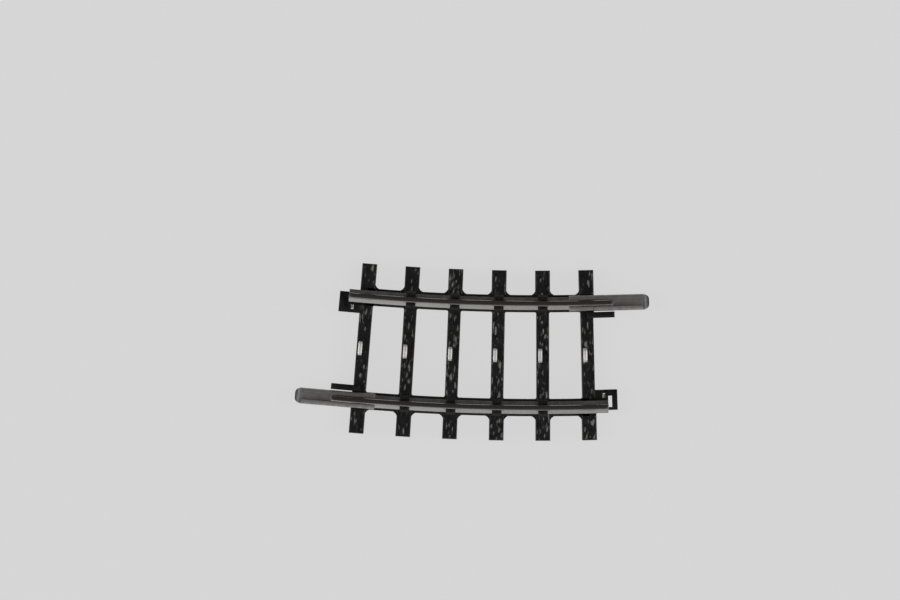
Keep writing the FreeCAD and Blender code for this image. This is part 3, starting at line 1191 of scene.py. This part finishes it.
def joiner_piece(rail, end):
    """Rail joiner: a strip of sheet folded up and over the rail foot."""
    size = sizes()
    name = "joiner_sheet_right" if end == RIGHT else "joiner_sheet_left"
    sheet = JOINER_SHEET * MM
    outer = size.foot_width / 2 + JOINER_SIDE_GAP * MM + sheet
    mid = outer - sheet / 2
    floor = RAIL_BASE - JOINER_FLOOR_GAP * MM - sheet / 2
    inner_end = -size.joiner_overlap / 2
    tip = inner_end + size.joiner_length
    lip_tip = tip - LIP_SETBACK * MM
    lip_side = RAIL_BASE + LIP_START * MM + sheet / 2
    lip_edge = RAIL_BASE + LIP_END * MM + sheet / 2
    piece = flat_plate(name, (inner_end, tip), (-mid, mid), floor)

    def lengthwise(part):
        """Whether an edge lies along the joiner, and has a length."""
        start, stop = (corner.co for corner in part.verts)
        return abs(start.y - stop.y) < NEAR / 10 and abs(start.x - stop.x) > NEAR

    def lip_root(side):
        """Test for the long edges of the floor on one side."""
        return lambda part, middle: (
            middle.y * side > mid - NEAR and middle.x < lip_tip and lengthwise(part)
        )

    def on_fold(part, middle):
        """Long edges where the sheet is folded."""
        inside = abs(abs(middle.y) - mid) < NEAR and len(part.link_faces) == 2
        return inside and lengthwise(part)

    edit(piece, "VERT")
    choose(piece, "VERT", lambda part, middle: middle.x > tip - 0.1 * MM)
    bpy.ops.mesh.bevel(offset=TIP_CORNER * MM, segments=7, affect="VERTICES")
    for place in (tip - 1.4 * MM, lip_tip, tip - 0.4 * MM, inner_end + 0.6 * MM):
        slice_at((place, 0, 0), (1, 0, 0))
    for side in (1, -1):
        choose(piece, "EDGE", lip_root(side))
        fold((0, 0, lip_side - floor))
        fold((0, -side * LIP_WIDTH * MM, lip_edge - lip_side))
    choose(piece, "EDGE", on_fold)
    bpy.ops.mesh.bevel(offset=JOINER_FOLD * MM, segments=4, affect="EDGES")
    # lead-in: the lips draw back and open a little, and the tip of the floor turns down
    near_lip, lip_low = lip_tip - 0.1 * MM, lip_side - 0.02 * MM
    for test, by in (
        (lambda part, middle: middle.z > lip_low and middle.x > near_lip, (-0.25, 0, 0.05)),
        (lambda part, middle: middle.x > tip - 0.5 * MM, (0, 0, -0.05)),
        (lambda part, middle: middle.x > tip - 0.1 * MM, (0, 0, -0.1)),
    ):
        shift(piece, "VERT", test, [distance * MM for distance in by])
    drop_all()
    apply_modifier(piece, "SOLIDIFY", thickness=sheet, offset=0.0, use_even_offset=True)
    soften(piece, JOINER_EDGE, angle=40)
    if end == LEFT:
        piece.rotation_euler = (0, 0, math.pi)
    piece.location = (0, rail * RAIL_OFFSET, 0)
    settle(piece)
    return turn(piece, angle_at(rail, end, JOINED_SETBACK * MM + size.joiner_overlap / 2))


STUD_OFFSET = -0.45
STUD_LENGTH = 2.35
STUD_BEND = 0.27
FINGER_HALF = 0.31
LIVE_SHEET = 0.25
# how far each side of the middle, and how much higher
CROWN = ((0.2, 0.1), (0.05, 0.04))
CROWN_CUTS = (-0.16, 0.0, 0.16)
STUD_EDGE = 0.06


def stud_and_finger(far_reach):
    """Stud bent up from its finger, crowned where the pickup slides.

    The finger may go on past the stud, as far as the far rail.
    """
    middle_x = STUD_OFFSET * MM
    low = LIVE_BOTTOM + LIVE_SHEET / 2 * MM
    crown_height = sum(rise for reach, rise in CROWN)
    high = STUD_TOP - (LIVE_SHEET / 2 + crown_height) * MM
    leg = (STUD_LENGTH / 2 - LIVE_SHEET / 2) * MM
    sides = ((STUD_OFFSET - FINGER_HALF) * MM, (STUD_OFFSET + FINGER_HALF) * MM)
    piece = flat_plate("finger", sides, (leg, RAIL_OFFSET), low)
    moves = [(0, 0, high - low), (0, -2 * leg, 0), (0, 0, low - high)]
    if far_reach:
        moves.append((0, -(far_reach - leg), 0))

    def on_bend(part, middle):
        """Edges across the sheet where it is bent."""
        across = abs(part.verts[0].co.x - part.verts[1].co.x) > NEAR
        return across and len(part.link_faces) == 2

    edit(piece, "EDGE")
    choose(piece, "EDGE", lambda part, middle: middle.y < leg + NEAR)
    for move in moves:
        fold(move)
    choose(piece, "EDGE", on_bend)
    bpy.ops.mesh.bevel(offset=STUD_BEND * MM, segments=5, affect="EDGES")
    for place in CROWN_CUTS:
        slice_at(((STUD_OFFSET + place) * MM, 0, 0), (1, 0, 0))
    stud_low = high - A_BIT * MM
    for reach, rise in CROWN:
        half = reach * MM
        shift(
            piece,
            "VERT",
            lambda part, middle: middle.z > stud_low and abs(middle.x - middle_x) < half,
            (0, 0, rise * MM),
        )
    drop_all()
    apply_modifier(piece, "SOLIDIFY", thickness=LIVE_SHEET * MM, offset=0.0)
    soften(piece, STUD_EDGE, angle=50)
    return piece


BUS_HALF = 0.5
TONGUE_HALF = 0.4
TONGUE_REACH = 0.5  # past the end face
FAR_LAP = 0.4
LIVE_EDGE = 0.03


def live_strip():
    """The whole live strip: bus, fingers, studs and the tongues under the joiners."""
    low = LIVE_BOTTOM / MM
    heights = (low, low + LIVE_SHEET)
    near = margin(INNER) / MM - 2 * FINGER_HALF
    bus_along = (near, rail_length(INNER) / MM - near)
    bus_across, tongue_across = (-BUS_HALF, BUS_HALF), (-TONGUE_HALF, TONGUE_HALF)
    pieces = [rail_bar("bus", INNER, RIGHT, bus_across, heights, bus_along, ALONG_STEPS)]
    for rail, end in JOINER_ENDS:
        along = (-TONGUE_REACH, margin(rail) / MM)
        pieces.append(rail_bar("tongue", rail, end, tongue_across, heights, along, 6))
    for piece in pieces:
        soften(piece, LIVE_EDGE)
    middle = stud_and_finger(0)
    through = stud_and_finger(RAIL_OFFSET + FAR_LAP * MM)
    last = sizes().sleeper_count - 1
    for index, angle in enumerate(sleeper_angles()):
        pattern = through if index in (0, last) else middle
        pieces.append(turn(twin(pattern, "finger"), angle))
    bpy.data.objects.remove(middle)
    bpy.data.objects.remove(through)
    return join(pieces, "live_strip_with_studs")


# Stage

FLOOR_SIZE = 6.0  # metres
WALL_TONE, CEILING_TONE = 0.48, 0.045
DARK_LEAN = math.radians(20)  # the dark ceiling leans back, away from the front lamp
DARK_NARROWING = 1.7  # it is narrower from side to side than from front to back
# cosines of the angle from its middle, where the walls' tone and full dark are reached
DARK_EDGE = (0.58, 0.8)
# name, place and size in metres, power in watts
LAMPS = (
    ("front_lamp", (-0.30, -0.85, 0.75), 0.7, 0.8),
    ("right_lamp", (1.05, 0.0, 0.85), 0.5, 3.0),
    ("left_lamp", (-1.05, 0.0, 0.85), 0.5, 3.0),
)
LENS, SENSOR = 180, 36
VIEW_WIDTH = 150.4
VIEW_MIDDLE = (-4.50, 9.04, 4)
VIEW_TURN = math.radians(1.7)


def lay_floor():
    """Wide glowing floor under the track."""
    drop_all()
    bpy.ops.mesh.primitive_plane_add(size=FLOOR_SIZE, location=(0, 0, GROUND))
    floor = bpy.context.object
    floor.name = "floor"
    settle(floor)
    floor.data.materials.append(material_for(opal_acrylic))


def soft_box(name, place, size, power):
    """Large square lamp that faces the track."""
    lamp = bpy.data.lights.new(name, "AREA")
    lamp.shape = "SQUARE"
    lamp.size = size
    lamp.energy = power
    box = bpy.data.objects.new(name, lamp)
    box.location = place
    box.rotation_euler = (-Vector(place)).to_track_quat("-Z", "Y").to_euler()
    bpy.context.collection.objects.link(box)


def set_lights():
    """Bright walls all round, a dark ceiling that leans back and three soft lamps.

    The flat tops mirror the dark ceiling; the crowned studs catch the lamps at the sides.
    """
    scene = bpy.context.scene
    scene.view_settings.view_transform = "Standard"
    world = bpy.data.worlds.new("studio")
    scene.world = world
    world.use_nodes = True
    tree = world.node_tree
    tree.nodes.clear()
    place = add_node(tree, "ShaderNodeTexCoord").outputs["Generated"]
    narrowing = (DARK_NARROWING, 1.0, 1.0)
    wide = add_node(
        tree, "ShaderNodeVectorMath", {0: place, 1: narrowing}, operation="MULTIPLY"
    ).outputs["Vector"]
    way = add_node(tree, "ShaderNodeVectorMath", {0: wide}, operation="NORMALIZE")
    middle = (0, math.sin(DARK_LEAN), math.cos(DARK_LEAN))
    toward = add_node(
        tree,
        "ShaderNodeVectorMath",
        {0: way.outputs["Vector"], 1: middle},
        operation="DOT_PRODUCT",
    )
    walls, ceiling = grey(WALL_TONE), grey(CEILING_TONE)
    tone = add_node(
        tree,
        "ShaderNodeValToRGB",
        {"Fac": toward.outputs["Value"]},
        [(0.0, walls), (DARK_EDGE[0], walls), (DARK_EDGE[1], ceiling)],
    )
    sky = add_node(tree, "ShaderNodeBackground", {"Color": tone.outputs["Color"]})
    add_node(tree, "ShaderNodeOutputWorld", {"Surface": sky.outputs["Background"]})
    for lamp in LAMPS:
        soft_box(*lamp)


def set_camera():
    """Camera straight above, with a long lens so that nothing leans."""
    camera = bpy.data.cameras.new("camera")
    camera.lens = LENS
    camera.sensor_width = SENSOR
    camera.clip_start = 0.05
    x, y, focus_height = VIEW_MIDDLE
    eye = bpy.data.objects.new("camera", camera)
    eye.location = (x * MM, y * MM, VIEW_WIDTH * MM * LENS / SENSOR + focus_height * MM)
    eye.rotation_euler = (0, 0, VIEW_TURN)
    bpy.context.collection.objects.link(eye)
    bpy.context.scene.camera = eye


# Operators, one for each piece or group of like pieces

def finish_plastic(pieces, nodes=()):
    """Finish pieces of the moulding."""
    for piece in pieces:
        finish_piece(piece, material_for(black_polystyrene), nodes=nodes)


class TRACK_OT_sleepers(bpy.types.Operator):
    """Model the six waisted sleepers with embossed grain"""

    bl_idname = "track.sleepers"
    bl_label = "Sleepers"

    def execute(self, context):
        pattern = plain_sleeper()
        cut_grid(pattern)
        last = sizes().sleeper_count - 1
        for index, angle in enumerate(sleeper_angles()):
            piece = twin(pattern, "sleeper_%d" % (index + 1))
            raise_grain(piece, index)
            turn(piece, angle)
            end = {0: LEFT, last: RIGHT}.get(index)
            if end:
                for rail in (INNER, OUTER):
                    carve(piece, relief(rail, end))
            finish_plastic([piece], ["sleeper_grid"])
        bpy.data.objects.remove(pattern)
        return {"FINISHED"}


class TRACK_OT_strips(bpy.types.Operator):
    """Model the strips under the rails with their gussets"""

    bl_idname = "track.strips"
    bl_label = "Strips"

    def execute(self, context):
        finish_plastic([rail_strip(INNER), rail_strip(OUTER), gussets()])
        return {"FINISHED"}


class TRACK_OT_chairs(bpy.types.Operator):
    """Model the chairs that hook over the rail foot"""

    bl_idname = "track.chairs"
    bl_label = "Chairs"

    def execute(self, context):
        finish_plastic([chairs()])
        return {"FINISHED"}


class TRACK_OT_ends(bpy.types.Operator):
    """Model the tabs and the socket blocks at the two ends"""

    bl_idname = "track.ends"
    bl_label = "End tabs and sockets"

    def execute(self, context):
        finish_plastic([tab(rail, end) for rail, end in JOINER_ENDS])
        finish_plastic([socket_block(rail, end) for rail, end in PLAIN_ENDS])
        return {"FINISHED"}


class TRACK_OT_rails(bpy.types.Operator):
    """Model the two rails"""

    bl_idname = "track.rails"
    bl_label = "Rails"

    def execute(self, context):
        for (rail, end), node in zip(JOINER_ENDS, ("inner_rail", "outer_rail")):
            piece = rail_piece(rail, end)
            finish_piece(piece, material_for(nickel_silver_rail), nodes=[node])
        return {"FINISHED"}


class TRACK_OT_joiners(bpy.types.Operator):
    """Model the two folded rail joiners"""

    bl_idname = "track.joiners"
    bl_label = "Joiners"

    def execute(self, context):
        names = (("right_joiner", "inner_rail_joiner"), ("left_joiner", "outer_rail_joiner"))
        for (rail, end), (body, node) in zip(JOINER_ENDS, names):
            piece = joiner_piece(rail, end)
            finish_piece(piece, material_for(joiner_steel), body, [node])
        return {"FINISHED"}


class TRACK_OT_studs(bpy.types.Operator):
    """Model the live strip with its studs, and finish the contact clips"""

    bl_idname = "track.studs"
    bl_label = "Studs and contacts"

    def execute(self, context):
        steel = material_for(stud_steel)
        finish_piece(live_strip(), steel, nodes=["stud_contact_strip"])
        for node in ("inner_rail_contact_clip", "outer_rail_contact_clip"):
            clip = frame["nodes"][node]
            clip.data.materials.clear()
            clip.data.materials.append(material_for(clip_bronze))
        return {"FINISHED"}


class TRACK_OT_stage(bpy.types.Operator):
    """Lay the pale floor and set the lights and the camera"""

    bl_idname = "track.stage"
    bl_label = "Stage"

    def execute(self, context):
        lay_floor()
        set_lights()
        set_camera()
        return {"FINISHED"}


class TRACK_PT_panel(bpy.types.Panel):
    """Lists the track's sizes, finishes and pieces"""

    bl_idname = "TRACK_PT_panel"
    bl_label = "Track section"
    bl_space_type = "VIEW_3D"
    bl_region_type = "UI"
    bl_category = "Track"

    def draw(self, context):
        for group in (context.scene.track_sizes, context.scene.track_finish):
            for name in group.__annotations__:
                self.layout.prop(group, name)
        for maker in MAKERS:
            self.layout.operator(maker.bl_idname)


MAKERS = (
    TRACK_OT_sleepers,
    TRACK_OT_strips,
    TRACK_OT_chairs,
    TRACK_OT_ends,
    TRACK_OT_rails,
    TRACK_OT_joiners,
    TRACK_OT_studs,
    TRACK_OT_stage,
)
CLASSES = (TrackSizes, TrackFinish, *MAKERS, TRACK_PT_panel)


def register():
    """Make the settings, operators and panel known to Blender."""
    for item in CLASSES:
        bpy.utils.register_class(item)
    bpy.types.Scene.track_sizes = PointerProperty(type=TrackSizes)
    bpy.types.Scene.track_finish = PointerProperty(type=TrackFinish)


def unregister():
    """Take them away again."""
    del bpy.types.Scene.track_finish
    del bpy.types.Scene.track_sizes
    for item in reversed(CLASSES):
        bpy.utils.unregister_class(item)


def main():
    """Build everything in order."""
    register()
    bpy.ops.track.sleepers()
    bpy.ops.track.strips()
    bpy.ops.track.chairs()
    bpy.ops.track.ends()
    bpy.ops.track.rails()
    bpy.ops.track.joiners()
    bpy.ops.track.studs()
    bpy.ops.track.stage()
    drop_all()


if __name__ == "__main__":
    main()
